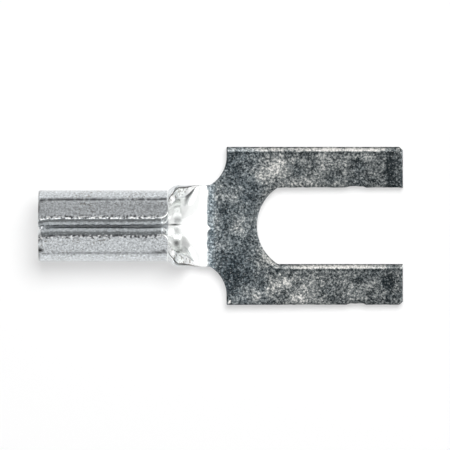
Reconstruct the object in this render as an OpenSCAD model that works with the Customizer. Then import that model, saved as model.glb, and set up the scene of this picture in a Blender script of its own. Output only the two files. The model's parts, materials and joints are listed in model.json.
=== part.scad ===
// Bare fork terminal: one tinned copper sheet, blanked, then rolled into a butted-seam
// wire barrel that opens through a trough-shaped neck into a flat two-tined tongue.
// Millimetres. The origin is the axis of a stud pushed home in the slot, on the tongue's
// underside. +X points to the tine tips, and +Z is the way the tongue's upper face looks.

/* [Sheet] */
// Thickness of the sheet
stock_t = 0.8; // [0.6:0.05:1]
// Width of the rolled-over band that blanking leaves on the tongue's upper edges
roll_w = 0.3; // [0.2:0.05:0.4]
// Depth of that rolled-over band
roll_d = 0.12; // [0.08:0.01:0.2]

/* [Fork] */
// Width across both tines
fork_w = 9.1; // [8.2:0.1:11]
// Length of the flat tongue, from the bend line to the tine tips
tongue_len = 11.2; // [10.6:0.1:14]
// Width of the stud slot
slot_w = 4.4; // [3.6:0.1:5]
// Depth of the slot, from the tine tips to its root
slot_depth = 8.4; // [6.5:0.1:9]
// Rise of the arc that closes the slot
slot_root_rise = 1.2; // [0.8:0.05:1.6]
// Chamfer on the outer corner of each tine tip
tip_chamfer = 0.2; // [0.1:0.05:0.6]

/* [Shoulders] */
// Distance from the bend line to the shoulders
shoulder_set = 1.05; // [0.9:0.05:1.5]
// Radius of the fillet between the neck and each shoulder
shoulder_r = 1.9; // [1.5:0.05:2.2]
// Straight stretch of each shoulder's edge, from the fillet to the tine's side
shoulder_flat = 0.55; // [0.4:0.05:0.8]

/* [Neck] */
// Length of the neck, from the barrel's end to the bend line
neck_len = 2.3; // [2:0.1:3.5]
// Width of the neck
neck_w = 4.7; // [4.3:0.1:5.2]
// How far the barrel's underside lies below the tongue's underside
neck_drop = 0.3; // [0.1:0.05:0.8]
// Length over which the neck widens from the barrel to its full width
flare_len = 0.6; // [0.3:0.1:1.2]
// Length of the rising floor beside the bend line
ramp_len = 2; // [1.2:0.1:2]
// Length of the flat strip, with no wall left, beside the bend line
strip_len = 0.4; // [0.1:0.05:0.8]
// Angle that the neck's walls wrap up each side where they leave the barrel
wall_wrap = 124; // [100:1:140]

/* [Barrel] */
// Length of the wire barrel
barrel_len = 7.45; // [5:0.05:10]
// Diameter of the wire bore
bore_d = 2.5; // [2.2:0.05:2.9]
// Lean of the two straight lips that meet at the seam, from level
lip_lean = 33; // [25:1:40]
// Gap left between the lips at the foot of the seam
seam_gap = 0.08; // [0.04:0.01:0.2]
// Radius on the lips' corners at the neck end of the seam
lip_corner_r = 0.45; // [0.2:0.05:0.6]
// Chamfer round the wire mouth
mouth_chamfer = 0.15; // [0.05:0.05:0.3]

/* [Hidden] */
$fn = 64;

bore_r = bore_d / 2;
barrel_r = bore_r + stock_t;
// Each lip leaves the round wall at a slight crease, so it lies this share of a radius out
lip_crease = 5;
lip_out = cos(lip_crease);
lip_len = bore_r * lip_out * tan(lip_lean);
axis_z = barrel_r - neck_drop;

root_x = -slot_w / 2;
tip_x = root_x + slot_depth;
bend_x = tip_x - tongue_len;
barrel_x = bend_x - neck_len;
mouth_x = barrel_x - barrel_len;
shoulder_x = bend_x + shoulder_set;
fork_half = fork_w / 2;
fillet_y = fork_half - shoulder_flat;
// A shoulder's fillet ends at the neck's side or at the bend line, whichever comes first
fillet_turn = min(
    asin(min((fillet_y - neck_w / 2) / shoulder_r, 1)),
    acos(1 - shoulder_set / shoulder_r)
);
fillet_steps = 12;

// The slot's root is an arc through both slot edges and the root's deepest point. It turns by
// root_turn to each side, and meets the slot's sides in mitred corners.
slot_half = slot_w / 2;
root_r = (slot_half * slot_half + slot_root_rise * slot_root_rise) / (2 * slot_root_rise);
root_turn = asin(slot_half / root_r);
root_mitre = cos(root_turn) / (1 + sin(root_turn));
root_steps = 16;

// The rolled-over band is an arc that leaves the upper face at a small angle. Its cutter
// follows the arc a little past both of its ends. Round the shoulders' fillets it loses this
// share of its size, so it dies out where the neck starts.
roll_fade = 0.9;
roll_exit = 6;
roll_half_sweep = atan(roll_d / roll_w) - roll_exit;
roll_r = norm([roll_w, roll_d]) / (2 * sin(roll_half_sweep));
roll_turn = 2 * (roll_exit + roll_half_sweep);
roll_steps = 8;

// Cutters run on past what they cut. The neck's ends are sunk in the barrel's wall and in the
// tongue, a hair inside their faces.
run_on = 0.5;
sunk_len = 0.25;
sunk_in = 0.02;

// The neck's floor climbs ever more steeply to the bend line, and a wrap below flat_wrap is flat
climb_power = 1.2;
flat_wrap = 0.1;

// Stations along the neck, and points across its sheet
neck_steps = 16;
wrap_steps = 32;

function clip(t) = min(max(t, 0), 1);

// Smooth step from 0 to 1
function ease(t) = t * t * (3 - 2 * t);

// Half width of the neck, seen from above, at a distance along it from the barrel
function neck_half(along) =
    let (left = 1 - clip(along / flare_len))
    neck_w / 2 - (neck_w / 2 - barrel_r) * left * left;

// Angle that the sheet wraps up each side
function neck_wrap(along) = wall_wrap * (1 - ease(clip(along / (neck_len - strip_len))));

// Height of the sheet's middle at the lowest line of the trough
function floor_z(along) =
    let (climb = clip((along - neck_len + ramp_len) / ramp_len))
    stock_t / 2 - neck_drop * (1 - pow(climb, climb_power));

// How far the neck's skin is sunk below its neighbours' at its two ends
function skin_sunk(along) = sunk_in * (1 - clip(min(along, neck_len - along) / strip_len));

// One point of the neck's skin: share runs from -1 to 1 across the sheet, side is 1 on its
// outer face and -1 on its inner face. Where the sheet is flat there is no arc to follow.
function skin_point(along, share, side) =
    let (
        wrap = neck_wrap(along),
        sunk = skin_sunk(along),
        half = neck_half(along),
        off = side * (stock_t / 2 - sunk),
        arc_r = half / sin(min(max(wrap, flat_wrap), 90)) - stock_t / 2,
        turn = wrap * share
    )
    wrap < flat_wrap
        ? [barrel_x + along, (half - sunk) * share, floor_z(along) - off]
        : [
            barrel_x + along,
            (arc_r + off) * sin(turn),
            floor_z(along) + arc_r - (arc_r + off) * cos(turn),
        ];

// A ring of the trough's section: along the outer face, then back along the inner one
function section_ring(along) = [
    for (j = [0 : wrap_steps]) skin_point(along, 2 * j / wrap_steps - 1, 1),
    for (j = [wrap_steps : -1 : 0]) skin_point(along, 2 * j / wrap_steps - 1, -1),
];

// A point of the rolled-over band's arc: x runs in from the edge, y up from the upper face
function roll_point(turn) = [
    roll_w + roll_r * (sin(roll_exit) - sin(turn)),
    roll_r * (cos(turn) - cos(roll_exit)),
];

// Section of what blanking takes off an upper edge: from outside the sheet along the
// rolled-over band, at a share of its full size, then back above it
function roll_section(share = 1) =
    let (
        band = [for (j = [roll_steps : -1 : 0]) share * roll_point(roll_turn * j / roll_steps)],
        face = [[-run_on, band[0].y], each band]
    )
    [each face, for (j = [len(face) - 1 : -1 : 0]) [face[j].x, run_on]];

// A station of a round edge: its point, the way from it into the sheet, and the roll's share
function arc_station(centre, r, angle, share = 1) =
    let (way = [cos(angle), sin(angle)])
    [centre + r * way, way, share];

// Stations along the slot's edge, from past one tine's tip to past the other's
function slot_edge() = [
    [[tip_x + run_on, -slot_half], [0, -1], 1],
    [[root_x + slot_root_rise, -slot_half], [-root_mitre, -1], 1],
    for (k = [1 : root_steps - 1])
        arc_station([root_x + root_r, 0], root_r, 180 + root_turn * (1 - 2 * k / root_steps)),
    [[root_x + slot_root_rise, slot_half], [-root_mitre, 1], 1],
    [[tip_x + run_on, slot_half], [0, 1], 1],
];

// Stations along a shoulder's edge, from past the tine's side, and round the fillet to the neck
function shoulder_edge() = [
    [[shoulder_x, fork_half + run_on], [1, 0], 1],
    for (k = [0 : fillet_steps])
        let (part = k / fillet_steps)
        arc_station(
            [shoulder_x - shoulder_r, fillet_y], shoulder_r, -fillet_turn * part, 1 - roll_fade * part
        ),
];

// A solid through rings of points. Each ring runs along one face and back along the other, so
// each end is a strip between the two.
module loft(rings) {
    count = len(rings[0]);
    last = len(rings) - 1;
    skin = [
        for (i = [0 : last - 1], k = [0 : count - 1])
            let (
                a = i * count + k,
                b = i * count + (k + 1) % count
            )
            each [[a, b + count, b], [a, a + count, b + count]]
    ];
    ends = [
        for (j = [0 : count / 2 - 2])
            let (
                near = [j, j + 1, count - 2 - j, count - 1 - j],
                far = [for (k = [3 : -1 : 0]) last * count + near[k]]
            )
            each [near, far]
    ];
    polyhedron(points = [for (ring = rings) each ring], faces = concat(skin, ends));
}

// A circle with two straight lips that lean to a point over it
module pear(r) {
    out = r * lip_out;
    circle(r);
    polygon([
        [out * sin(lip_lean), out * cos(lip_lean)],
        [0, out / cos(lip_lean)],
        [-out * sin(lip_lean), out * cos(lip_lean)],
    ]);
}

// The lips' edges are cut square, so they part in a groove above the seam
module seam_groove() {
    foot = [0, bore_r * lip_out / cos(lip_lean)];
    reach = stock_t + run_on;
    open = [seam_gap / 2 + reach * sin(lip_lean), reach * cos(lip_lean)];
    polygon([
        foot - [seam_gap / 2, run_on],
        foot + [seam_gap / 2, -run_on],
        foot + [seam_gap / 2, 0],
        foot + open,
        foot + [-open.x, open.y],
        foot - [seam_gap / 2, 0],
    ]);
}

// Rounds a lip's corner at the neck end of the seam, seen square on to the lip. The arc meets
// the barrel's end and the lip's edge at a small angle.
module lip_corner(side) {
    translate([barrel_x - lip_corner_r + seam_gap / 2, 0, axis_z])
        rotate([-side * lip_lean, 0, 0])
            translate([0, -side * (lip_len - lip_corner_r), bore_r - run_on / 2])
                mirror([0, side > 0 ? 1 : 0, 0])
                    linear_extrude(stock_t + run_on)
                        difference() {
                            square([lip_corner_r + run_on, lip_corner_r]);
                            circle(lip_corner_r);
                        }
}

module mouth_cone() {
    over = mouth_chamfer / 2;
    translate([mouth_x - over, 0, axis_z])
        rotate([0, 90, 0])
            cylinder(
                h = mouth_chamfer + 2 * over,
                r1 = bore_r + mouth_chamfer + over,
                r2 = bore_r - over
            );
}

module barrel() {
    difference() {
        translate([mouth_x, 0, axis_z])
            rotate([90, 0, 90])
                linear_extrude(barrel_len)
                    difference() {
                        pear(barrel_r);
                        pear(bore_r);
                        seam_groove();
                    }
        mouth_cone();
        for (side = [-1, 1]) lip_corner(side);
    }
}

// The trough is lofted through its sections, from inside the barrel's wall to inside the tongue
module neck() {
    alongs = [for (i = [0 : neck_steps]) sunk_in + (neck_len - 2 * sunk_in) * i / neck_steps];
    rings = [
        [for (p = section_ring(0)) p - [sunk_len, 0, 0]],
        for (along = alongs) section_ring(along),
        [for (p = section_ring(neck_len)) p + [sunk_len, 0, 0]],
    ];
    loft(rings);
}

module tongue_outline() {
    difference() {
        union() {
            translate([bend_x, -neck_w / 2]) square([shoulder_set, neck_w]);
            difference() {
                translate([bend_x, -fillet_y]) square([shoulder_set, 2 * fillet_y]);
                for (side = [-1, 1])
                    translate([shoulder_x - shoulder_r, side * fillet_y]) circle(shoulder_r);
            }
            polygon([
                [shoulder_x, -fork_half],
                [tip_x - tip_chamfer, -fork_half],
                [tip_x, tip_chamfer - fork_half],
                [tip_x, fork_half - tip_chamfer],
                [tip_x - tip_chamfer, fork_half],
                [shoulder_x, fork_half],
            ]);
        }
        slot_outline();
    }
}

module slot_outline() {
    translate([root_x + slot_root_rise, -slot_half]) square([slot_depth, slot_w]);
    intersection() {
        translate([root_x + root_r, 0]) circle(root_r);
        translate([root_x, -slot_half]) square([slot_root_rise, slot_w]);
    }
}

// Rolls a straight edge from one point to the next, with the sheet on the left
module roll_line(from, to, extra) {
    way = to - from;
    translate([from.x, from.y, stock_t])
        rotate(atan2(way.y, way.x))
            translate([-extra[0], 0, 0])
                rotate([90, 0, 90])
                    linear_extrude(norm(way) + extra[0] + extra[1]) polygon(roll_section());
}

// Rolls an edge through its stations
module roll_along(stations) {
    loft([
        for (station = stations) [
            for (p = roll_section(station[2]))
                let (place = station[0] + p.x * station[1])
                [place.x, place.y, stock_t + p.y]
        ]
    ]);
}

// Rolls the outer edges of one tine and its shoulder
module tine_rolls() {
    side_start = [shoulder_x, fork_half];
    side_end = [tip_x - tip_chamfer, fork_half];
    tip_start = [tip_x, fork_half - tip_chamfer];
    tip_end = [tip_x, slot_half];
    roll_line(side_end, side_start, [0, run_on]);
    roll_line(tip_start, side_end, [0, 0]);
    roll_line(tip_end, tip_start, [run_on, 0]);
    roll_along(shoulder_edge());
}

module tongue() {
    difference() {
        linear_extrude(stock_t) tongue_outline();
        tine_rolls();
        mirror([0, 1, 0]) tine_rolls();
        roll_along(slot_edge());
    }
}

module fork_terminal() {
    color("silver") {
        barrel();
        neck();
        tongue();
    }
}

fork_terminal();
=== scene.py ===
import json
import math

import bpy
import numpy as np
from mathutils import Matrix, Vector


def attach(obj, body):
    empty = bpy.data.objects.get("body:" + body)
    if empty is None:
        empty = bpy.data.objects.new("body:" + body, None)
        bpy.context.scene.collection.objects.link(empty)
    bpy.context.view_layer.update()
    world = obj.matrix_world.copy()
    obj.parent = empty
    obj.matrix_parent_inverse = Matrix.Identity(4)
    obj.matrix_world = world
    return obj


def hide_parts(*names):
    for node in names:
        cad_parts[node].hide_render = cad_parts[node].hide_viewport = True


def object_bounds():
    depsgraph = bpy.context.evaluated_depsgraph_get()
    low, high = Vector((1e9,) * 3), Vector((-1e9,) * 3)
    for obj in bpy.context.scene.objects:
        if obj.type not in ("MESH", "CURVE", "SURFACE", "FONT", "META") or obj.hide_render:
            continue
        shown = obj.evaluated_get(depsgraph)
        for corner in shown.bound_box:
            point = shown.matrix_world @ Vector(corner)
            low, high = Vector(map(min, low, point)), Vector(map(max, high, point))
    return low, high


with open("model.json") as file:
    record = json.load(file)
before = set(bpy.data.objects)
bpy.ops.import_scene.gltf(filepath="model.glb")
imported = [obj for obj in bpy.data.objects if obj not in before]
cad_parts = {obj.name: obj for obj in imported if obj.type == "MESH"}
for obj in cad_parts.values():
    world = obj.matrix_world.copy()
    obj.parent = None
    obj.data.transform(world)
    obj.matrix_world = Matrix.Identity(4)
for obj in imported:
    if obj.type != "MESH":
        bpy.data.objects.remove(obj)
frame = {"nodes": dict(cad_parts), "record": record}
cadLow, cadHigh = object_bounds()
mounts = {m["name"]: m for m in frame["record"]["mounts"]}
print("frame loaded:", sorted(frame["nodes"]))

mm = 0.001  # every size below is in millimetres, and the meshes are in metres

# Sizes of the sheet that the terminal is rolled from. Its ends, sides and bore come from the frame.
sheet = {
    "stock": 0.8,
    "mouthX": cadLow.x / mm,
    "tipX": cadHigh.x / mm,
    "forkHalf": cadHigh.y / mm,
    "bellyZ": cadLow.z / mm,
    "topZ": cadHigh.z / mm,
    "boreR": mounts["wire_barrel"]["dims"]["r_mm"],
    "slotHalf": 2.2,
    "slotDepth": mounts["stud_slot"]["dims"]["slot_length_mm"],
    "rootRise": 1.2,
    "tipChamfer": 0.2,
    "tongueLen": 11.2,
    "shoulderSet": 1.05,
    "shoulderR": 1.9,
    "shoulderFlat": 0.55,
    "cornerR": 0.06,
    "neckLen": 2.3,
    "neckHalf": 2.35,
    "flareLen": 0.6,
    "rampLen": 2.0,
    "climbPower": 1.2,
    "stripLen": 0.4,
    "wallWrap": math.radians(124),
    "leastWrap": 1e-4,  # keeps the arc of a flat sheet finite
    "notchR": 0.12,
    "lipLean": math.radians(33),
    "seamGap": 0.08,
    "lipCornerR": 0.45,
}
half = sheet["stock"] / 2
barrelR = sheet["boreR"] + sheet["stock"]
neckDrop = -sheet["bellyZ"]
rootX = sheet["tipX"] - sheet["slotDepth"]
bendX = sheet["tipX"] - sheet["tongueLen"]
barrelX = bendX - sheet["neckLen"]
shoulderX = bendX + sheet["shoulderSet"]
filletY = sheet["forkHalf"] - sheet["shoulderFlat"]
rootR = (sheet["slotHalf"] ** 2 + sheet["rootRise"] ** 2) / (2 * sheet["rootRise"])
axisZ = barrelR - neckDrop
midR = barrelR - half
lipTurn = math.pi - sheet["lipLean"]
lipLen = sheet["boreR"] * math.tan(sheet["lipLean"]) - sheet["seamGap"] / 2 / math.cos(sheet["lipLean"])
lipS = midR * lipTurn + lipLen

# Wear and tool marks on the sheet, in millimetres. A pair of shares is for the +Y and the -Y side.
# A fade is the gap that it leaves and the length that it runs over.
marks = {
    "seed": 11,
    # rolled, rounded and bevelled edges: width and depth
    "blankRoll": (0.3, 0.12),  # what blanking leaves on the tongue's upper edges
    "slimRoll": (0.08, 0.03),
    "mouthRound": (0.12, 0.06),
    "mouthBevel": (0.15, 0.15),
    "backEdge": (0.05, 0.05),
    "rollExit": math.radians(6),  # angle at which every rolled edge leaves its face
    "rollFade": 0.9,  # share of its size that the blanked roll loses round the fillet to the neck
    # the sheet itself
    "twist": (math.radians(1.5), math.radians(4.0)),  # of the whole barrel, and more at its mouth
    "twistRun": 0.35,
    "twistEnd": 1.2,
    "ripple": 0.008,
    "rippleRun": 0.4,
    # ragged lips, and tine edges that are worn where they look to -Y
    "ragged": 0.02,
    "raggedOut": 0.01,
    "raggedFade": (0.3, 0.3),
    "raggedShare": (0.8, 0.5),
    "wornFade": (0.1, 0.3),
    "nick": (2.9, 4.1, 0.07),  # start, end and depth
    "nickRamps": (0.25, 0.2),
    # creases beside the seam, dented and darkened with painted shade
    "creaseAt": (1.235, 1.205),  # from the lip's edge
    "creaseWidth": (0.105, 0.085),
    "creaseShare": (1.0, 0.65),
    "creaseDepth": 0.02,
    "creaseFade": (0.02, 0.1),
    "creaseDip": 0.55,
    "creaseDipRun": 0.6,
    # burrs along the lips, with painted glints on them and painted shade between them, and a dark line of
    # painted shade along the lips
    "lipFade": (0.1, 0.4),
    "lipRow": (0.3, 0.16),  # reach and softness of the row that gets painted glints and painted shade
    "lipLine": (0.03, 0.08),  # place and width
    "lipLineShare": (0.0, 1.0),
    "lipEnd": (0.55, 0.1, 0.07),  # start, ramp and width of the painted highlight on the rim at the neck's end of a lip
    "burr": 0.045,
    "burrWidth": 0.09,
    "burrSlant": 0.2,
    "burrShare": (1.0, 0.6),
    # painted shade in the fold inside the neck's wall
    "foldWedge": (1.0, 1.65, 0.42),  # start and end along the neck, and width at the start
    "foldLead": (0.2, 0.3),
    "foldReach": 1.6,
    "foldLeast": 0.03,
    "foldShare": (1.0, 0.5),
    # where the neck, painted near white as a painted highlight, meets the dull tongue and the barrel
    "bendFade": (0.12, 0.1),
    "bendWander": 0.03,
    "bendNotch": (-0.15, 0.12, 0.16),  # place and half width across, and reach along the tongue
    "neckFade": (0.06, 0.1),
    "neckOutside": 0.3,  # share of the neck's painted highlight on its outer face
    # tones on the tongue: the pale band on rolled edges that look to +Y is a painted highlight, the thin
    # dark lines beside it and on the edge are painted shade, and the pale strip past the bend is a painted
    # highlight
    "rollFacing": (0.3, 0.5),
    "rollPale": (0.37, 0.05),  # strength and softness
    "rollLine": (0.2, 0.04),  # strength and width of the dark line inside the roll
    "edgeLine": (0.42, 0.05),  # and of the one on the edge
    "tipRun": 1.2,
    "tipDark": 0.08,
    "tipRoll": (0.4, 0.6),  # the roll's least share, and what is added away from the tips
    "tineRoll": (0.8, 0.3),  # the same towards the neck
    "tineRollRun": (-0.5, 2.5),
    "bendPale": (0.1, 0.15, 0.25),  # strength, place and width
    "spotStray": 0.16,
    "strayRun": 0.5,
    # tones on the barrel
    "stainRun": 0.3,
    "matteFade": (0.3, 1.0),
    "mouthDark": (0.8, 0.07),  # strength and width of the painted shade along the mouth's edge
    # sheared and broken zones on the cut walls
    "shear": 0.02,
    "shearStart": (0.35, 0.3),
    "shearSquash": 3,
    "shearFade": 4,
    "cutGain": 3,
}
# Fields of waves over the sheet: the number that seeds one, its shortest wavelength, its mean and swing
waveFields = {
    "strayX": (1, 0.45, 0.0, 1.0),
    "strayY": (2, 0.45, 0.0, 1.0),
    "ragged": (3, 0.16, 0.0, 1.0),
    "worn": (4, 0.3, 0.5, 0.6),
    "burr": (5, 0.12, 0.0, 1.0),
    "crease": (6, 0.14, 0.9, 0.4),
    "lipLine": (7, 0.13, 0.9, 0.6),
    "rippleTop": (8, 0.9, 0.5, 0.5),
    "rippleLow": (9, 0.9, 0.5, 0.5),
    "bend": (10, 0.3, 0.0, 1.0),
    "mouth": (11, 0.5, 0.6, 0.6),
    "shear": (12, 0.1, 0.6, 0.35),
}
waveCount = 14
longestWave = 2.6  # times the shortest
# Spots of patina and of painted shade, each an ellipse: x, y, half length, half width, and strength, which
# is pale above 0
patinaAndShadeSpots = np.array(
    [
        (-0.66, 3.55, 0.55, 0.38, 0.27),
        (-1.40, 3.10, 0.60, 0.45, 0.12),
        (-2.15, 2.72, 0.50, 0.36, 0.20),
        (0.20, 2.50, 0.70, 0.25, 0.18),
        (2.20, 2.42, 0.50, 0.15, 0.12),
        (-0.66, -3.22, 0.55, 0.38, 0.25),
        (-1.40, -3.63, 0.60, 0.45, 0.12),
        (-2.05, -3.95, 0.50, 0.36, 0.18),
        (0.30, -4.20, 0.70, 0.25, 0.14),
        (-3.45, 3.50, 0.70, 0.90, -0.12),
        (-3.60, -3.20, 0.70, 0.80, -0.12),
        (-4.10, 0.60, 0.50, 0.80, -0.05),
        (3.48, 3.65, 0.32, 0.14, -0.28),
        (4.45, 2.58, 0.32, 0.22, -0.26),
        (3.48, -3.10, 0.32, 0.14, -0.28),
        (4.50, -4.22, 0.32, 0.20, -0.26),
        (5.40, 3.30, 0.22, 1.10, -0.28),
        (5.40, -3.40, 0.22, 1.10, -0.28),
        (-3.80, -4.36, 0.09, 0.10, 0.90),
        # the spots at x -6.83, -6.80 and -6.95 are painted shade in the neck's trough: a shadowed pocket by
        # the lower wall, a darker upper wall and a dark line along the floor
        (-6.83, -1.36, 0.22, 0.42, -0.85),
        (-6.63, -2.20, 0.16, 0.25, -0.60),
        (-6.80, 0.75, 0.40, 0.45, -0.30),
        (-6.95, 0.08, 0.32, 0.05, -1.20),
        (-7.90, -1.52, 0.30, 0.10, -0.60),
        (-7.55, -1.42, 0.10, 0.10, -0.70),
        (-10.80, 1.45, 0.06, 0.20, -0.60),
        (-8.45, 0.98, 0.08, 0.14, -0.55),
        (-8.05, 1.10, 0.12, 0.10, -0.45),
        (-14.60, -1.40, 0.13, 0.12, -1.10),
        (-14.60, -0.60, 0.14, 0.30, -0.40),
        (-11.10, -0.82, 0.16, 0.06, -0.50),
        (-8.60, -0.80, 0.20, 0.06, -0.50),
    ]
)

# Columns of the grid in each run of the sheet's edges, from the mouth to the tips
runColumns = {
    "barrel": 97,
    "lipCorner": 16,
    "lipEnd": 14,
    "notch": 8,
    "neck": 38,
    "fillet": 26,
    "shoulder": 9,
    "corner": 5,
    "web": 9,
    "root": 30,
    "tine": 74,
}
# Where these runs end on the middle line, and where the web ends on the tongue's side
midStops = {
    "lipCorner": barrelX - 0.28,
    "lipEnd": barrelX - 0.08,
    "notch": barrelX + 0.8 * sheet["notchR"],
    "fillet": -3.25,
    "shoulder": -2.75,
    "corner": -2.65,
}
webX = -3.3
# Rows of the grid: in from an edge, beside a crease, and how many between those. The rows down a
# wall are shares of its height, and a narrow first one keeps the edge crisp.
edgeRows = np.array([0, 0.012, 0.03, 0.06, 0.1, 0.15, 0.22, 0.3, 0.37, 0.46])
creaseRows = np.array([-0.08, -0.04, -0.02, 0, 0.02, 0.04, 0.08])
lipRows, middleRows = 6, 24
wallRows = np.concatenate([[0, 0.03], np.linspace(0, 1, 9)[1:]])
noEdge = 9.0  # a distance that no mark reaches
weldStep = 1e-4  # points that round to the same step are one
maskNames = ("cut", "through", "matte", "crease", "lip", "patina", "roll", "dull", "neck")


def clip01(t):
    return np.clip(t, 0.0, 1.0)


# Smooth step from 0 to 1
def ease(t):
    t = clip01(t)
    return t * t * (3 - 2 * t)


# A bell that is 1 at 0 and falls off as exp(-t^2)
def bell(t):
    return np.exp(-(t**2))


# The share of a pair that belongs to a side
def pick(pair, side):
    return pair[0] if side > 0 else pair[1]


# A named field: its mean plus its swing times a sum of plane waves with random headings and phases,
# which lies at about -1 to 1. Each field is the same for both halves of the sheet.
def waves(x, y, name):
    number, wavelength, mean, swing = waveFields[name]
    rng = np.random.default_rng([marks["seed"], number])
    total = np.zeros(np.broadcast(x, y).shape)
    headings = rng.uniform(0, 2 * math.pi, waveCount)
    phases = rng.uniform(0, 2 * math.pi, waveCount)
    lengths = wavelength * rng.uniform(1, longestWave, waveCount)
    for heading, phase, length in zip(headings, phases, lengths):
        along = x * math.cos(heading) + y * math.sin(heading)
        total = total + np.sin(2 * math.pi * along / length + phase)
    return mean + swing * (total / math.sqrt(waveCount))


# The neck's section at a distance along it: the angle that the sheet wraps up each side, and the
# radius of its middle's arc, which is the neck's half width over the sine of that angle
def neckArc(along):
    left = 1 - clip01(along / sheet["flareLen"])
    width = sheet["neckHalf"] - (sheet["neckHalf"] - barrelR) * left * left
    wrap = sheet["wallWrap"] * (1 - ease(along / (sheet["neckLen"] - sheet["stripLen"])))
    wrap = np.maximum(wrap, sheet["leastWrap"])
    return wrap, width / np.sin(np.minimum(wrap, math.pi / 2)) - half


# Half width of the flat sheet at a distance along the neck: wrap angle times the arc's radius
def neckEdge(along):
    wrap, arcR = neckArc(along)
    return wrap * arcR


# Bent place of a point of the flat sheet: x along it, s across it from the middle line, h up
# through it. Across, the sheet follows an arc of its neck's radius, then a straight lip.
def formSheet(x, s, h):
    along = np.clip(x - barrelX, 0, sheet["neckLen"])
    arcR = neckArc(along)[1]
    climb = clip01((along - sheet["neckLen"] + sheet["rampLen"]) / sheet["rampLen"])
    floorZ = half - neckDrop * (1 - climb ** sheet["climbPower"])
    turn = s / arcR
    over = np.maximum(np.abs(turn) - lipTurn, 0) * arcR
    turn = np.clip(turn, -lipTurn, lipTurn)
    y = (arcR - h) * np.sin(turn) + np.sign(s) * over * np.cos(turn)
    z = floorZ + arcR - (arcR - h) * np.cos(turn) + over * np.sin(np.abs(turn))
    # the rolled end is twisted a little about the barrel's axis
    wholeTwist, mouthTwist = marks["twist"]
    twist = wholeTwist * ease((barrelX - x) / marks["twistEnd"])
    twist = twist + mouthTwist * np.exp(-(x - sheet["mouthX"]) / marks["twistRun"])
    yTurned = y * np.cos(twist) - (z - axisZ) * np.sin(twist)
    zTurned = axisZ + y * np.sin(twist) + (z - axisZ) * np.cos(twist)
    return np.stack([x, yTurned, np.minimum(zTurned, sheet["topZ"])], -1)


# Points of an arc by its centre, radius and two angles in degrees
def arcPoints(cx, cy, r, start, end, count):
    a = np.radians(np.linspace(start, end, count, endpoint=False))
    return np.stack([cx + r * np.cos(a), cy + r * np.sin(a)], -1)


# Points of a straight run, with the end point left to the next run
def linePoints(a, b, count):
    t = np.linspace(0, 1, count, endpoint=False)[:, None]
    return np.asarray(a, float) * (1 - t) + np.asarray(b, float) * t


# The same on the middle line
def midPoints(a, b, count):
    return linePoints((a, 0), (b, 0), count)


# Points at given places along the sheet, all as far across it
def levelPoints(xs, across):
    return np.stack([xs, 0 * xs + across], -1)


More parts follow.
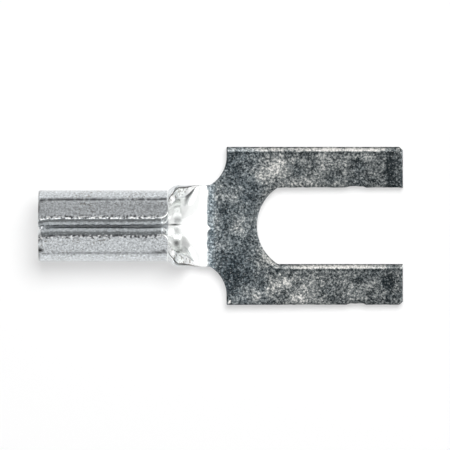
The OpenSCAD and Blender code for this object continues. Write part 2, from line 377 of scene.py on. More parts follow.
# The two long edges of half the flat sheet, column by column. The inner one is the middle line, then
# the slot's root and side. The outer one is the lip, the notch, the neck, the fillet and the side.
# Also gives the blanked roll's share of its size on the outer edge, and the slot's first column.
def sheetEdges():
    fork, slot = sheet["forkHalf"], sheet["slotHalf"]
    r, rn, rc = sheet["lipCornerR"], sheet["notchR"], sheet["cornerR"]
    n, stop = runColumns, midStops
    notchS = neckEdge(np.array(rn))
    cornerX = barrelX - r
    mouthXs = sheet["mouthX"] + edgeRows
    barrelXs = np.linspace(mouthXs[-1], cornerX, n["barrel"] + 1, endpoint=False)[1:]
    alongs = np.linspace(rn, sheet["neckLen"], n["neck"], endpoint=False)
    fillet = (shoulderX - sheet["shoulderR"], filletY, sheet["shoulderR"])
    filletStart = -math.degrees(math.asin((filletY - sheet["neckHalf"]) / sheet["shoulderR"]))
    rootStart = rootX + sheet["rootRise"]
    rootHalf = math.degrees(math.asin(slot / rootR))
    endXs = sheet["tipX"] - edgeRows[::-1]
    chamfer = np.maximum(endXs - (sheet["tipX"] - sheet["tipChamfer"]), 0)
    runs = {
        "mouth": (levelPoints(mouthXs, 0), levelPoints(mouthXs, lipS)),
        "barrel": (levelPoints(barrelXs, 0), levelPoints(barrelXs, lipS)),
        "lipCorner": (
            midPoints(cornerX, stop["lipCorner"], n["lipCorner"]),
            arcPoints(cornerX, lipS - r, r, 90, 0, n["lipCorner"]),
        ),
        "lipEnd": (
            midPoints(stop["lipCorner"], stop["lipEnd"], n["lipEnd"]),
            linePoints((barrelX, lipS - r), (barrelX, notchS + rn), n["lipEnd"]),
        ),
        "notch": (
            midPoints(stop["lipEnd"], stop["notch"], n["notch"]),
            arcPoints(barrelX + rn, notchS + rn, rn, 180, 270, n["notch"]),
        ),
        "neck": (
            midPoints(stop["notch"], bendX, n["neck"]),
            np.stack([barrelX + alongs, neckEdge(alongs)], -1),
        ),
        "fillet": (
            midPoints(bendX, stop["fillet"], n["fillet"]),
            arcPoints(*fillet, filletStart, 0, n["fillet"]),
        ),
        "shoulder": (
            midPoints(stop["fillet"], stop["shoulder"], n["shoulder"]),
            linePoints((shoulderX, filletY), (shoulderX, fork - rc), n["shoulder"]),
        ),
        "corner": (
            midPoints(stop["shoulder"], stop["corner"], n["corner"]),
            arcPoints(shoulderX + rc, fork - rc, rc, 180, 90, n["corner"]),
        ),
        "web": (
            midPoints(stop["corner"], rootX, n["web"]),
            linePoints((shoulderX + rc, fork), (webX, fork), n["web"]),
        ),
        "root": (
            arcPoints(rootX + rootR, 0, rootR, 180, 180 - rootHalf, n["root"]),
            linePoints((webX, fork), (rootStart, fork), n["root"]),
        ),
        "tine": (
            linePoints((rootStart, slot), (endXs[0], slot), n["tine"]),
            linePoints((rootStart, fork), (endXs[0], fork), n["tine"]),
        ),
        "tip": (levelPoints(endXs, slot), np.stack([endXs, fork - chamfer], -1)),
    }
    inner = np.concatenate([a for a, b in runs.values()])
    outer = np.concatenate([b for a, b in runs.values()])
    starts = dict(zip(runs, np.cumsum([0] + [len(a) for a, b in runs.values()])))
    # the roll grows evenly round the fillet
    column = np.arange(len(inner))
    toGrow = clip01((starts["shoulder"] - column) / (starts["shoulder"] - starts["fillet"]))
    share = np.where(column < starts["fillet"], 0, 1 - marks["rollFade"] * toGrow)
    return inner, outer, share, starts["root"]


# Wears the edges in place: the lip's edge is a little ragged, and so are the tines' edges that look
# to -Y, with one long nick
def wearEdges(inner, outer, side):
    edgeX = outer[:, 0]
    gap, run = marks["raggedFade"]
    ragged = marks["ragged"] * waves(edgeX, 0 * edgeX + side, "ragged")
    ragged = ragged * ease((barrelX - gap - edgeX) / run)
    ragged = np.maximum(ragged, -marks["raggedOut"]) * pick(marks["raggedShare"], side)
    outer[:, 1] = outer[:, 1] - ragged
    worn = inner if side > 0 else outer
    wornX = worn[:, 0]
    nickFrom, nickTo, nickDepth = marks["nick"]
    rampIn, rampOut = marks["nickRamps"]
    nick = nickDepth * ease((wornX - nickFrom) / rampIn) * ease((nickTo - wornX) / rampOut)
    nick = nick + marks["ragged"] * clip01(waves(wornX, 0 * wornX + side, "worn"))
    gap, run = marks["wornFade"]
    onTine = ease((wornX - rootX - sheet["rootRise"] - gap) / run)
    worn[:, 1] = worn[:, 1] + side * nick * onTine


# Distances of the grid's rows from the inner edge, column by column
def rowOffsets(length, creaseFrom):
    edge = np.broadcast_to(edgeRows, (len(length), len(edgeRows)))
    crease = creaseFrom + creaseRows
    lipSpread = np.linspace(0, 1, lipRows + 2)[None, 1:-1]
    between = edgeRows[-1] + (crease[:, :1] - edgeRows[-1]) * lipSpread
    fromOuter = np.concatenate([edge, between, crease], axis=1)
    gap = length - edgeRows[-1] - fromOuter[:, -1:]
    middle = edgeRows[-1] + gap * np.linspace(0, 1, middleRows + 2)[None, 1:-1]
    return np.concatenate([edge, middle, length - fromOuter[:, ::-1]], axis=1)


# How far an edge rolls down at a distance d from it: an arc of the given width and depth, which
# leaves the face at the exit angle
def rolled(d, width, depth):
    leave = marks["rollExit"]
    r = np.hypot(width, depth) / (2 * np.sin(np.arctan2(depth, width) - leave))
    reach = np.maximum(width - d, 0) + r * math.sin(leave)
    return np.where(d < width, r * math.cos(leave) - np.sqrt(np.maximum(r * r - reach * reach, 0)), 0)


# Sum of the spots at a place, each fading as exp(-r^2) over its ellipse, with wavy outlines
def patinaAndShadeTone(x, y):
    stray = marks["spotStray"] * ease((x - bendX) / marks["strayRun"])
    x, y = x + stray * waves(x, y, "strayX"), y + stray * waves(x, y, "strayY")
    dx = (x[..., None] - patinaAndShadeSpots[:, 0]) / patinaAndShadeSpots[:, 2]
    dy = (y[..., None] - patinaAndShadeSpots[:, 1]) / patinaAndShadeSpots[:, 3]
    return (np.exp(-dx * dx - dy * dy) * patinaAndShadeSpots[:, 4]).sum(-1)


# Marks beside the seam, each from 0 to 1: burrs on the lip's edge, the row that gets painted glints and
# painted shade, the crease, which is also darkened as painted shade, and a dark line of painted shade along
# the lip
def seamMarks(x, ySide, dOuter, fromCrease, side):
    gap, run = marks["lipFade"]
    zone = ease((barrelX - gap - x) / run)
    burr = clip01(np.maximum(waves(x, ySide * marks["burrSlant"], "burr"), 0) ** 2)
    burr = burr * zone * bell(dOuter / marks["burrWidth"])
    reach, softness = marks["lipRow"]
    row = zone * ease((reach - dOuter) / softness)
    gap, run = marks["creaseFade"]
    crease = bell(fromCrease / pick(marks["creaseWidth"], side))
    crease = crease * clip01(waves(x, 0 * x + side, "crease"))
    crease = crease * ease((barrelX - gap - x) / run) * pick(marks["creaseShare"], side)
    place, width = marks["lipLine"]
    line = pick(marks["lipLineShare"], side) * zone * bell((dOuter - place) / width)
    line = line * clip01(waves(x, dOuter, "lipLine"))
    return burr, row, crease, line


# Painted shade in the fold inside the neck's wall: a dark wedge below the edge, which narrows towards the
# tongue
def neckFoldShade(x, dOuter, side):
    start, end, startWidth = marks["foldWedge"]
    lead, ramp = marks["foldLead"]
    run = (x - barrelX - start) / (end - start)
    width = np.maximum(startWidth * (1 - run), marks["foldLeast"])
    foldShade = ease((run + lead) / ramp) * (run < 1) * clip01(marks["foldReach"] - dOuter / width)
    return foldShade * pick(marks["foldShare"], side)


# Painted light on a rolled edge at a distance d from it: where it looks to +Y it gets a pale painted
# highlight, between two thin dark lines of painted shade.
def rollLightAndShadeTone(d, facing, size):
    least, ramp = marks["rollFacing"]
    pale, softness = marks["rollPale"]
    line, lineWidth = marks["rollLine"]
    edge, edgeWidth = marks["edgeLine"]
    rollWidth = marks["blankRoll"][0]
    lit = size * ease((facing - least) / ramp)
    band = pale * ease((rollWidth - d) / softness) - line * bell((d - rollWidth - lineWidth) / lineWidth)
    return lit[:, None] * (band - edge * bell(d / edgeWidth))


# How far the line where the dull tongue starts wanders, with one notch in it
def bendWander(x, ySide):
    place, halfWidth, reach = marks["bendNotch"]
    wander = marks["bendWander"] * waves(0 * x, ySide, "bend")
    return wander - reach * bell((ySide - place) / halfWidth)


# Unit normals of a line of points, to its left
def leftNormals(points):
    way = np.gradient(points, axis=0)
    way = way / np.linalg.norm(way, axis=1, keepdims=True)
    return np.stack([-way[:, 1], way[:, 0]], -1)


# Quads of a grid of vertex numbers, in the grid's own turn
def gridQuads(index):
    quads = np.stack([index[:-1, :-1], index[1:, :-1], index[1:, 1:], index[:-1, 1:]], -1)
    return quads.reshape(-1, 4)


# One half of the sheet, side 1 or -1: an upper and a lower skin ruled between the two edges, and
# walls that close them. Gives points, quads and the masks that the finish uses.
def sheetHalf(side):
    inner, outer, share, slotFrom = sheetEdges()
    wearEdges(inner, outer, side)
    ruled = outer - inner
    length = np.linalg.norm(ruled, axis=1)[:, None]
    unit = ruled / length
    # the rows beside the crease keep their place where the lip's corner falls away
    dip = np.clip(lipS - outer[:, 1], 0, marks["creaseDip"])
    dip = dip * (1 - ease((outer[:, 0] - barrelX) / marks["creaseDipRun"]))
    creaseFrom = (pick(marks["creaseAt"], side) - dip)[:, None]
    offsets = rowOffsets(length, creaseFrom)
    flat = inner[:, None, :] + unit[:, None, :] * offsets[:, :, None]
    x, s = flat[..., 0], flat[..., 1]
    ySide = s * side

    # distances from the edges, square to them
    outNormal = leftNormals(outer)
    inNormal = -leftNormals(inner)
    dOuter = (length - offsets) * np.abs((unit * outNormal).sum(1))[:, None]
    dInner = offsets * np.abs((unit * inNormal).sum(1))[:, None]
    dInner = np.where(np.arange(len(inner))[:, None] >= slotFrom, dInner, noEdge)
    dTip = sheet["tipX"] - x
    dMouth = x - sheet["mouthX"]

    # heights of the two skins
    sizes = zip(marks["blankRoll"], marks["slimRoll"])
    outW, outD = (np.maximum(full * share, least)[:, None] for full, least in sizes)
    drop = np.maximum.reduce(
        [
            rolled(dOuter, outW, outD),
            rolled(dInner, *marks["blankRoll"]),
            rolled(dTip, *marks["blankRoll"]),
            rolled(dMouth, *marks["mouthBevel"]),
        ]
    )
    rise = np.maximum.reduce([rolled(d, *marks["backEdge"]) for d in (dOuter, dInner, dTip)])
    rise = np.maximum(rise, rolled(dMouth, *marks["mouthRound"]))
    burr, lipRow, crease, lipLine = seamMarks(x, ySide, dOuter, (length - offsets) - creaseFrom, side)
    inward = marks["ripple"] * clip01(dOuter / marks["rippleRun"])
    topH = half - drop - inward * clip01(waves(x, ySide, "rippleTop"))
    lowH = -half + rise + inward * clip01(waves(x, ySide, "rippleLow"))
    lowH = lowH + marks["creaseDepth"] * crease
    lowH = lowH - marks["burr"] * burr * pick(marks["burrShare"], side)

    # tones of the upper skin, with the painted highlights and shade lines of the rolled edges
    tipShade = ease(dTip / marks["tipRun"])
    outTone = rollLightAndShadeTone(dOuter, side * outNormal[:, 1], ease(share * 2 - 1))
    inTone = rollLightAndShadeTone(dInner, side * inNormal[:, 1], 1.0)
    atTip, beyondTip = marks["tipRoll"]
    atNeck, alongTine = marks["tineRoll"]
    tineFrom, tineRun = marks["tineRollRun"]
    roll = (outTone + inTone) * (atTip + beyondTip * tipShade)
    roll = roll * (atNeck + alongTine * ease((x - tineFrom) / tineRun))
    # a pale painted highlight along the tongue just past the bend
    bendPale, bendPlace, bendWidth = marks["bendPale"]
    roll = roll + bendPale * bell((x - bendX - bendPlace) / bendWidth)
    patina = patinaAndShadeTone(x, ySide) - marks["tipDark"] * (1 - tipShade)

    # tones of the lower skin, which is the barrel's outside: stains from the spots, and painted shade along
    # the mouth's edge
    outside = formSheet(x, s * side, lowH)
    up = outside[..., 2] - axisZ
    stainAndShade = patinaAndShadeTone(outside[..., 0], outside[..., 1]) * ease(up / marks["stainRun"]) * (x < barrelX)
    # a dark line of painted shade along the mouth's edge
    mouthDark, mouthWidth = marks["mouthDark"]
    stainAndShade = stainAndShade - mouthDark * bell(dMouth / mouthWidth) * clip01(waves(0 * x, ySide, "mouth"))
    matteGap, matteRun = marks["matteFade"]
    matte = ease((up + matteGap) / matteRun)
    # a painted highlight on the rim at the neck's end of each lip
    endFrom, endRamp, endWidth = marks["lipEnd"]
    lipEnd = ease((x - barrelX + endFrom) / endRamp) * bell(dOuter / endWidth) * (x < barrelX)
    points, quads, masks = [], [], []
    base = 0

    # Adds a grid with its masks. cut is 1 on a wall, through runs from 0 to 1 down it, matte is 1 on top of
    # the barrel, crease is painted shade in the creases and the neck's fold, lip is painted glints and
    # shade along the seam, patina is the sum of the spots, some of them painted shade, and roll is the
    # painted highlight and shade lines of the rolled edges. white is the neck's share of its painted
    # highlight, and rim adds to it.
    def addGrid(px, ps, ph, flip, wander=0.0, white=1.0, rim=0.0, **given):
        nonlocal base
        index = base + np.arange(px.size).reshape(px.shape)
        found = gridQuads(index)
        points.append(formSheet(px, ps * side, ph).reshape(-1, 3))
        quads.append(found[:, ::-1] if flip else found)
        bendGap, bendRun = marks["bendFade"]
        neckGap, neckRun = marks["neckFade"]
        dull = ease((px - bendX + bendGap + wander) / bendRun)
        neck = np.maximum(white * ease((px - barrelX + neckGap) / neckRun) * (1 - dull), rim)
        given.update(dull=dull, neck=neck)
        found = [np.broadcast_to(given.get(label, 0.0), px.shape).ravel() for label in maskNames]
        masks.append(np.stack(found, -1))
        base += px.size

    # Adds a wall from the upper skin's edge row to the lower one's, with a sheared and a broken zone
    def addWall(at, normal, flip):
        ex, es, eTop, eLow = (a[at][:, None] for a in (x, s, topH, lowH))
        normal = np.broadcast_to(normal, (len(ex), 2))
        t = wallRows[None, :]
        h = eTop * (1 - t) + eLow * t
        shearFrom, shearRun = marks["shearStart"]
        rough = clip01(waves(ex + side * es, marks["shearSquash"] * t, "shear"))
        out = -marks["shear"] * ease((t - shearFrom) / shearRun) * rough * np.sin(math.pi * t)
        # no shear at a wall's ends, where it meets the next wall
        k = np.arange(len(ex))[:, None]
        out = out * ease(k / marks["shearFade"]) * ease((len(ex) - 1 - k) / marks["shearFade"])
        cut = clip01(marks["cutGain"] * np.sin(math.pi * t))
        addGrid(ex + normal[:, :1] * out, es + normal[:, 1:] * out, h, flip, cut=cut, through=t)

    mirrored = side < 0
    foldShade = neckFoldShade(x, dOuter, side)
    wander = bendWander(x, ySide)
    addGrid(x, s, topH, mirrored, wander=wander, crease=foldShade, patina=patina, roll=roll)
    addGrid(
        x, s, lowH, not mirrored, white=marks["neckOutside"], rim=lipEnd,
        through=1.0, matte=matte, crease=clip01(crease + lipLine), lip=lipRow, patina=stainAndShade,
    )
    addWall(np.s_[:, -1], outNormal, mirrored)
    addWall(np.s_[slotFrom:, 0], inNormal[slotFrom:], not mirrored)
    addWall(np.s_[-1], (1.0, 0.0), not mirrored)
    addWall(np.s_[0], (-1.0, 0.0), mirrored)
    return np.concatenate(points), np.concatenate(quads), np.concatenate(masks)


# Joins both halves, merges the points that they share and puts the result into a mesh
def makeSheet(name):
    points, quads, masks = [], [], []
    base = 0
    for side in (1, -1):
        p, q, m = sheetHalf(side)
        points.append(p)
        quads.append(q + base)
        masks.append(m)
        base += len(p)
    points, quads, masks = np.concatenate(points), np.concatenate(quads), np.concatenate(masks)
    keys = np.round(points / weldStep).astype(np.int64)
    first, inverse = np.unique(keys, axis=0, return_index=True, return_inverse=True)[1:]
    points, masks, quads = points[first], masks[first], inverse.reshape(-1)[quads]
    # quads that the merging has closed up are left out
    ordered = np.sort(quads, axis=1)
    good = (ordered[:, 1:] != ordered[:, :-1]).all(1)
    quads = quads[good]
    mesh = bpy.data.meshes.new(name)
    mesh.from_pydata((points * mm).tolist(), [], quads.tolist())
    mesh.polygons.foreach_set("use_smooth", np.ones(len(quads), bool))
    for column, label in enumerate(maskNames):
        layer = mesh.attributes.new(label, "FLOAT", "POINT")
        layer.data.foreach_set("value", masks[:, column].astype(np.float32))
    mesh.update()
    a, b, c, d = (points[quads[:, k]] for k in range(4))
    volume = np.einsum("ij,ij->", a, np.cross(b, c) + np.cross(c, d)) / 6
    dropped = int((~good).sum())
    print(f"{name}: {len(points)} points, {len(quads)} quads, {volume:.1f} mm3, dropped {dropped}")
    obj = bpy.data.objects.new(name, mesh)
    bpy.context.scene.collection.objects.link(obj)
    return obj


# Small helpers for node trees. An input is a socket to link or a value to set.
def addNode(tree, kind, **settings):
    node = tree.nodes.new(kind)
    inputs = settings.pop("inputs", {})
    for key, value in settings.items():
        setattr(node, key, value)
    for key, value in inputs.items():
        if isinstance(value, bpy.types.NodeSocket):
            tree.links.new(value, node.inputs[key])
        else:
            node.inputs[key].default_value = value
    return node


def mathNode(tree, operation, a, b, clamp=False):
    node = addNode(tree, "ShaderNodeMath", operation=operation, use_clamp=clamp, inputs={0: a, 1: b})
    return node.outputs[0]


# A value times a factor, plus an offset
def scaled(tree, value, factor, offset):
    inputs = {0: value, 1: factor, 2: offset}
    return addNode(tree, "ShaderNodeMath", operation="MULTIPLY_ADD", inputs=inputs).outputs[0]


# A value's range from low to high, made 0 to 1 or another span
def spanned(tree, value, low, high, toLow=0.0, toHigh=1.0):
    inputs = {"Value": value, "From Min": low, "From Max": high, "To Min": toLow, "To Max": toHigh}
    return addNode(tree, "ShaderNodeMapRange", inputs=inputs).outputs[0]


def noise(tree, place, scale, detail, roughness):
    inputs = {"Vector": place, "Scale": scale, "Detail": detail, "Roughness": roughness}
    return addNode(tree, "ShaderNodeTexNoise", inputs=inputs).outputs[0]


def mixColor(tree, fac, a, b, mode="MIX"):
    inputs = {0: fac, 6: a, 7: b}
    return addNode(tree, "ShaderNodeMix", data_type="RGBA", blend_type=mode, inputs=inputs).outputs[2]


def ramp(tree, fac, stops):
    node = addNode(tree, "ShaderNodeValToRGB", inputs={"Fac": fac})
    while len(node.color_ramp.elements) < len(stops):
        node.color_ramp.elements.new(0.5)
    for element, (place, colour) in zip(node.color_ramp.elements, stops):
        element.position = place
        element.color = (*colour, 1)
    return node.outputs["Color"]


# A node group that reads a place and some values, and puts out values
def newGroup(name, values, results):
    tree = bpy.data.node_groups.new(name, "ShaderNodeTree")
    tree.interface.new_socket("Place", in_out="INPUT", socket_type="NodeSocketVector")
    for label in values:
        tree.interface.new_socket(label, in_out="INPUT", socket_type="NodeSocketFloat")
    for label in results:
        tree.interface.new_socket(label, in_out="OUTPUT", socket_type="NodeSocketFloat")
    return tree, tree.nodes.new("NodeGroupInput").outputs, tree.nodes.new("NodeGroupOutput").inputs


# A material with an empty tree, and the link from its shader to its surface
def newMaterial(name):
    material = bpy.data.materials.new(name)
    material.use_nodes = True
    material.node_tree.nodes.clear()
    return material, material.node_tree


def setSurface(tree, shader, kind="ShaderNodeOutputMaterial"):
    tree.links.new(shader.outputs[0], addNode(tree, kind).inputs["Surface"])


# Noises of the plating: detail and roughness of each, scale against the grain's, and the ranges that
# are stretched to 0 to 1
mottleLook = {
    "grain": (3.0, 0.7),
    "patch": (2.0, 0.55),
    "fine": (1.0, 0.5),
    "speckScale": 1.7,
    "speckRange": (0.62, 0.74),
    "chipScale": 0.85,
    "chipRange": (0.535, 0.6),
    "pitRange": (0.46, 0.38),
}


# Mottled plating: fine grain, broad patches, sparse specks and chips that are used for painted glints, and
# pits, all from 0 to 1
def makeMottleGroup():
    tree, given, out = newGroup("tinMottle", ["Grain", "Patch"], ["Grain", "Patch", "Speck", "Chip", "Pit"])
    place = given["Place"]
    speckScale = mathNode(tree, "MULTIPLY", given["Grain"], mottleLook["speckScale"])
    chipScale = mathNode(tree, "MULTIPLY", given["Grain"], mottleLook["chipScale"])
    speck = noise(tree, place, speckScale, *mottleLook["fine"])
    chip = noise(tree, place, chipScale, *mottleLook["fine"])
    results = {
        "Grain": noise(tree, place, given["Grain"], *mottleLook["grain"]),
        "Patch": noise(tree, place, given["Patch"], *mottleLook["patch"]),
        "Speck": spanned(tree, speck, *mottleLook["speckRange"]),
        "Chip": spanned(tree, chip, *mottleLook["chipRange"]),
        "Pit": spanned(tree, chip, *mottleLook["pitRange"]),
    }
    for label, value in results.items():
        tree.links.new(value, out[label])
    return tree


dragLook = {"stretch": (0.08, 1.0, 1.0), "lines": (3.0, 0.6)}


# Fine lines drawn along X by the rolling tools, from 0 to 1
def makeDragGroup():
    tree, given, out = newGroup("dragLines", ["Density"], ["Lines"])
    stretched = addNode(
        tree, "ShaderNodeVectorMath", operation="MULTIPLY",
        inputs={0: given["Place"], 1: dragLook["stretch"]},
    )
    lines = noise(tree, stretched.outputs[0], given["Density"], *dragLook["lines"])
    tree.links.new(lines, out["Lines"])
    return tree


# Looks of the tin plate. A pair is a factor and an offset for a noise or a mask, unless a note says
# otherwise.
tinLook = {
    "grainPerMm": 8.0,
    "patchPerMm": 0.8,
    "linesPerMm": 9.0,
    "barrelColor": (0.594, 0.621, 0.64, 1),
    "neckColor": (0.95, 0.965, 0.955, 1),
    "chipColor": (0.93, 0.94, 0.94, 1),
    "speckColor": (0.8, 0.81, 0.8, 1),
    "fleckColor": (0.16, 0.14, 0.11, 1),
    "creaseColor": (0.035, 0.037, 0.04, 1),
    "coolTint": (0.92, 1.0, 1.07, 1),
    "warmTint": (1.05, 1.0, 0.965, 1),
    # the dull tongue, whose dark tone is partly its dull plating and partly painted shade
    "grainTone": (1.65, -0.4),
    "patchTone": (0.62, -0.31),
    "patchWarmth": (1.6, -0.3),
    "patinaWarmth": 1.2,
    "tineWarmth": 0.5,
    "tineWarmRun": (-0.6, 1.0),  # start and end, from the slot's root
    "bendCool": 0.6,
    "bendCoolRun": (0.2, 0.5),  # start and end, from the bend line
    "sparkle": (2.0, 0.3),
    # the satin barrel, whose grain is strongest on top and whose drawn lines are strongest below
    "barrelGrain": (2.4, -1.2),
    "barrelGrainTop": (0.7, 0.3),
    "barrelLines": (1.0, -0.5),
    "barrelLinesTop": (-0.6, 0.6),
    "barrelFlecks": 0.6,
    "deepPits": (3.0, -2.0),
    "fleckClusters": (5.0, -2.2),
    "lipChips": (5.0, -3.75),
    "creaseShare": 0.92,
    # the cut walls, and the neck's rims with a painted highlight between dark lines of painted shade
    "cutBreak": (1.2, -0.6),
    "rimBreak": (0.3, -0.15),
    "rimFlecks": 0.7,
    "rimRough": 0.15,
    "dullRough": (0.35, 0.24),
    "smoothRough": (0.2, 0.12),
    "lineBump": 0.3,
    "bump": (0.3, 0.03),  # strength, and depth in millimetres
    "dullStops": [
        (0.0, (0.010, 0.014, 0.016)),
        (0.24, (0.024, 0.030, 0.033)),
        (0.334, (0.058, 0.068, 0.073)),
        (0.413, (0.091, 0.105, 0.112)),
        (0.5, (0.146, 0.167, 0.174)),
        (0.587, (0.222, 0.245, 0.251)),
        (0.666, (0.342, 0.366, 0.370)),
        (0.76, (0.54, 0.562, 0.560)),
        (1.0, (0.86, 0.88, 0.88)),
    ],
    "rimStops": [
        (0.0, (0.30, 0.31, 0.31)),
        (0.12, (0.95, 0.96, 0.955)),
        (0.76, (0.95, 0.96, 0.955)),
        (0.82, (0.02, 0.02, 0.022)),
        (1.0, (0.03, 0.03, 0.032)),
    ],
    # the top stop is bright for the sheared zone, and partly a painted light that lifts the shade deep in
    # the seam's groove
    "cutStops": [
        (0.0, (0.88, 0.89, 0.90)),
        (0.25, (0.72, 0.74, 0.75)),
        (0.5, (0.52, 0.54, 0.55)),
        (0.62, (0.26, 0.27, 0.275)),
        (0.84, (0.24, 0.25, 0.255)),
        (1.0, (0.60, 0.62, 0.62)),
    ],
}


# Tin plate: smooth and pale where the tools have pressed it, with the neck paler still as a painted
# highlight, dull and mottled on the flat tongue, whose darkness is partly painted shade, and on the cut
# edges a bright sheared zone above a dark broken one
def makeTin(mottleGroup, dragGroup):
    material, tree = newMaterial("tinPlate")

    def plus(a, b, clamp=False):
        return mathNode(tree, "ADD", a, b, clamp)

    def times(a, b, clamp=False):
        return mathNode(tree, "MULTIPLY", a, b, clamp)

    def fitted(value, setting):
        return scaled(tree, value, *tinLook[setting])

    def blend(fac, a, b, mode="MIX"):
        return mixColor(tree, fac, a, b, mode)

    coords = addNode(tree, "ShaderNodeTexCoord")
    place = addNode(
        tree, "ShaderNodeVectorMath", operation="SCALE",
        inputs={0: coords.outputs["Object"], "Scale": 1 / mm},
    ).outputs[0]
    mask = {
        label: addNode(tree, "ShaderNodeAttribute", attribute_name=label).outputs["Fac"]
        for label in maskNames
    }
    mottle = addNode(
        tree, "ShaderNodeGroup", node_tree=mottleGroup,
        inputs={"Place": place, "Grain": tinLook["grainPerMm"], "Patch": tinLook["patchPerMm"]},
    ).outputs
    drag = addNode(
        tree, "ShaderNodeGroup", node_tree=dragGroup,
        inputs={"Place": place, "Density": tinLook["linesPerMm"]},
    ).outputs
    grain, patch, pit, lines = mottle["Grain"], mottle["Patch"], mottle["Pit"], drag["Lines"]

    # the tongue: a dark mottle, partly its dull plating and partly painted shade, warmer in its patches and
    # towards the tips, with bright specks as painted glints
    tone = plus(fitted(grain, "grainTone"), fitted(patch, "patchTone"))
    # the rolled edges' painted highlights and shade lines are added to the tongue's tone
    tone = plus(plus(tone, mask["patina"]), mask["roll"])
    patinaWarmth = times(mask["patina"], tinLook["patinaWarmth"])
    warmth = plus(fitted(patch, "patchWarmth"), patinaWarmth, clamp=True)
    along = addNode(tree, "ShaderNodeSeparateXYZ", inputs={0: place}).outputs["X"]
    warmFrom, warmTo = (rootX + run for run in tinLook["tineWarmRun"])
    coolFrom, coolTo = (bendX + run for run in tinLook["bendCoolRun"])
    forward = spanned(tree, along, warmFrom, warmTo, toHigh=tinLook["tineWarmth"])
    nearBend = spanned(tree, along, coolFrom, coolTo, toLow=-tinLook["bendCool"], toHigh=0.0)
    warmth = plus(plus(warmth, forward), nearBend, clamp=True)
    tint = blend(warmth, tinLook["coolTint"], tinLook["warmTint"])
    dullShadedColor = blend(1.0, ramp(tree, tone, tinLook["dullStops"]), tint, "MULTIPLY")
    # painted glints: bright specks over the rolled edges' painted highlight
    sparkle = times(mottle["Speck"], fitted(mask["roll"], "sparkle"), clamp=True)
    dullShadedColor = blend(sparkle, dullShadedColor, tinLook["speckColor"])

    # the barrel: grain, drawn lines, stains and painted shade, clusters of dark specks on top, and painted
    # glints and painted shade along the lips
    stainedAndShaded = plus(mask["patina"], 1.0, clamp=True)
    grainy = times(fitted(grain, "barrelGrain"), fitted(mask["matte"], "barrelGrainTop"))
    streaky = times(fitted(lines, "barrelLines"), fitted(mask["matte"], "barrelLinesTop"))
    shade = times(plus(plus(grainy, streaky), 1.0), stainedAndShaded)
    barrelColor = blend(1.0, tinLook["barrelColor"], shade, "MULTIPLY")
    specks = times(fitted(pit, "deepPits"), tinLook["barrelFlecks"], clamp=True)
    clusters = times(fitted(patch, "fleckClusters"), mask["matte"], clamp=True)
    barrelColor = blend(times(specks, clusters), barrelColor, tinLook["fleckColor"])
    # painted shade between the burrs along the lip, then painted glints on them
    barrelColor = blend(times(mask["lip"], pit), barrelColor, tinLook["creaseColor"])
    glinted = times(fitted(mask["lip"], "lipChips"), mottle["Chip"], clamp=True)
    barrelColor = blend(glinted, barrelColor, tinLook["chipColor"])
    # the neck is painted near white as a painted highlight, darkened where the spots paint shade
    neckColor = blend(1.0, tinLook["neckColor"], stainedAndShaded, "MULTIPLY")
    barrelColor = blend(mask["neck"], barrelColor, neckColor)

    # all of it, with painted shade in the creases and the neck's fold, and the cut walls
    color = blend(mask["dull"], barrelColor, dullShadedColor)
    color = blend(times(mask["crease"], tinLook["creaseShare"]), color, tinLook["creaseColor"])
    cutDepth = plus(mask["through"], fitted(grain, "cutBreak"))
    # the neck's rims: a painted highlight between dark lines of painted shade at their edges, with flecks
    rimDepth = plus(mask["through"], fitted(grain, "rimBreak"))
    flecks = times(pit, tinLook["rimFlecks"])
    rimLightAndShadeColor = blend(flecks, ramp(tree, rimDepth, tinLook["rimStops"]), tinLook["fleckColor"])
    cutColor = blend(mask["neck"], ramp(tree, cutDepth, tinLook["cutStops"]), rimLightAndShadeColor)
    color = blend(mask["cut"], color, cutColor)

    rimRough = times(times(mask["neck"], mask["cut"]), tinLook["rimRough"])
    smoothRough = plus(fitted(lines, "smoothRough"), rimRough)
    rough = addNode(
        tree, "ShaderNodeMix", data_type="FLOAT",
        inputs={0: mask["dull"], 2: smoothRough, 3: fitted(grain, "dullRough")},
    )
    height = plus(times(grain, mask["dull"]), times(lines, tinLook["lineBump"]))
    strength, depth = tinLook["bump"]
    bump = addNode(
        tree, "ShaderNodeBump",
        inputs={"Height": height, "Strength": strength, "Distance": depth * mm},
    )
    shader = addNode(
        tree, "ShaderNodeBsdfPrincipled",
        inputs={
            "Base Color": color,
            "Metallic": 1.0,
            "Roughness": rough.outputs[0],
            "Normal": bump.outputs[0],
        },
    )
    setSurface(tree, shader)
    return material


terminal = makeSheet("fork_terminal_sheet")
terminal.data.materials.append(makeTin(makeMottleGroup(), makeDragGroup()))
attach(terminal, "root")
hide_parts("fork_terminal")
print("terminal made")

# The photograph looks straight down on the part
view = {
    "centre": (-4.04, 0.05),
    "frameWidth": 25.9,
    "lens": 900.0,
    "sensor": 36.0,
    "aboveZ": 1.0,
    "clip": (0.001, 10.0),  # metres
}
cameraData = bpy.data.cameras.new("topCamera")
cameraData.lens = view["lens"]
cameraData.sensor_width = view["sensor"]
cameraData.clip_start, cameraData.clip_end = view["clip"]
camera = bpy.data.objects.new("topCamera", cameraData)
distance = view["frameWidth"] * view["lens"] / view["sensor"]
camera.location = (view["centre"][0] * mm, view["centre"][1] * mm, (view["aboveZ"] + distance) * mm)
bpy.context.scene.collection.objects.link(camera)
bpy.context.scene.camera = camera

studio = {
    "white": (1, 1, 1, 1),
    "floorColor": (0.92, 0.92, 0.92, 1),
    "floorHalf": 400.0,
    "floorGlow": 0.53,  # share of plain white that the eye and the metal see in the floor
    "ambient": 0.14,
    "keyElevation": 71,
    "keyAzimuth": 72,  # from +X towards +Y
    "keyDistance": 300.0,
    "keySize": 165.0,
    "keyPower": 0.99,
}
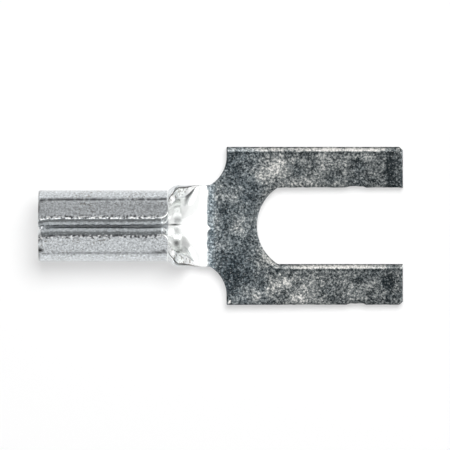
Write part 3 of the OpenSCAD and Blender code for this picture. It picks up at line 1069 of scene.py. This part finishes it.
# Cards that only the metal's reflections see: direction, distance, width, height and strength
cards = {
    "farCard": ((0, 1, 0.42), 300, 900, 260, 0.55),
    "nearCard": ((0, -1, 0.42), 300, 900, 260, 0.86),
    "leftDark": ((-1, 0, 0.1), 300, 500, 220, 0.05),
    "rightSoftbox": ((1, 0, 0.3), 250, 320, 150, 3.0),
    "leftSoftbox": ((-0.45, 0, 0.89), 250, 260, 150, 1.8),
    "keySoftbox": ((0.15, 0.38, 0.91), 250, 120, 80, 1.8),
}
squareCorners = ((-1, -1), (1, -1), (1, 1), (-1, 1))


# A flat four-cornered mesh
def makePanel(name, corners, material):
    mesh = bpy.data.meshes.new(name)
    mesh.from_pydata([tuple(c * mm for c in corner) for corner in corners], [], [(0, 1, 2, 3)])
    mesh.materials.append(material)
    obj = bpy.data.objects.new(name, mesh)
    bpy.context.scene.collection.objects.link(obj)
    return obj


# 1 for what the eye sees straight, in metal or through glass, and 0 for light that falls on things
def seenRays(tree):
    path = addNode(tree, "ShaderNodeLightPath")
    seen = mathNode(tree, "ADD", path.outputs["Is Camera Ray"], path.outputs["Is Glossy Ray"])
    return mathNode(tree, "ADD", seen, path.outputs["Is Transmission Ray"], clamp=True)


# A plain white light source of the given kind
def plainGlow(tree, kind, strength):
    return addNode(tree, kind, inputs={"Color": studio["white"], "Strength": strength})


def mixShader(tree, fac, a, b):
    return addNode(tree, "ShaderNodeMixShader", inputs={0: fac, 1: a.outputs[0], 2: b.outputs[0]})


# The part rests on the belly below its barrel and on the tips of its tines
def makeFloor():
    material, tree = newMaterial("floorPaper")
    seen = mathNode(tree, "MULTIPLY", seenRays(tree), studio["floorGlow"])
    paper = addNode(tree, "ShaderNodeBsdfDiffuse", inputs={"Color": studio["floorColor"]})
    white = plainGlow(tree, "ShaderNodeEmission", 1.0)
    setSurface(tree, mixShader(tree, seen, paper, white))
    slope = neckDrop / (sheet["tipX"] - barrelX)
    size = studio["floorHalf"]

    def height(px):
        return sheet["bellyZ"] + slope * (px - barrelX)

    makePanel("floor", [(sx * size, sy * size, height(sx * size)) for sx, sy in squareCorners], material)


# A card faces the part from its direction, with its width level
def makeCard(name, direction, distance, width, height, strength):
    material, tree = newMaterial(name)
    setSurface(tree, plainGlow(tree, "ShaderNodeEmission", strength))
    way = np.asarray(direction, float) / np.linalg.norm(direction)
    across = np.cross((0, 0, 1), way)
    across = across / np.linalg.norm(across)
    up = np.cross(way, across)
    centre = way * distance
    corners = [tuple(centre + across * width / 2 * sx + up * height / 2 * sy) for sx, sy in squareCorners]
    card = makePanel(name, corners, material)
    card.visible_camera = False
    card.visible_diffuse = False
    card.visible_transmission = False
    card.visible_shadow = False


# A dim even light on the part, which the eye and the metal see as white
def makeWorld():
    world = bpy.data.worlds.new("studioWorld")
    bpy.context.scene.world = world
    world.use_nodes = True
    tree = world.node_tree
    tree.nodes.clear()
    ambient = plainGlow(tree, "ShaderNodeBackground", studio["ambient"])
    white = plainGlow(tree, "ShaderNodeBackground", 1.0)
    setSurface(tree, mixShader(tree, seenRays(tree), ambient, white), "ShaderNodeOutputWorld")


# The lamp that casts the shadow, which the metal doesn't see
def makeKey():
    lamp = bpy.data.lights.new("keyLight", "AREA")
    lamp.shape = "DISK"
    lamp.size = studio["keySize"] * mm
    lamp.energy = studio["keyPower"]
    key = bpy.data.objects.new("keyLight", lamp)
    elevation, azimuth = math.radians(studio["keyElevation"]), math.radians(studio["keyAzimuth"])
    level = math.cos(elevation)
    way = np.array([level * math.cos(azimuth), level * math.sin(azimuth), math.sin(elevation)])
    key.location = tuple((np.array([view["centre"][0], 0, 0]) + way * studio["keyDistance"]) * mm)
    key.rotation_euler = Vector(way).to_track_quat("Z", "Y").to_euler()
    key.visible_glossy = False
    bpy.context.scene.collection.objects.link(key)


makeFloor()
makeWorld()
makeKey()
for cardName, cardSettings in cards.items():
    makeCard(cardName, *cardSettings)
bpy.context.scene.view_settings.view_transform = "Standard"
print("studio made")
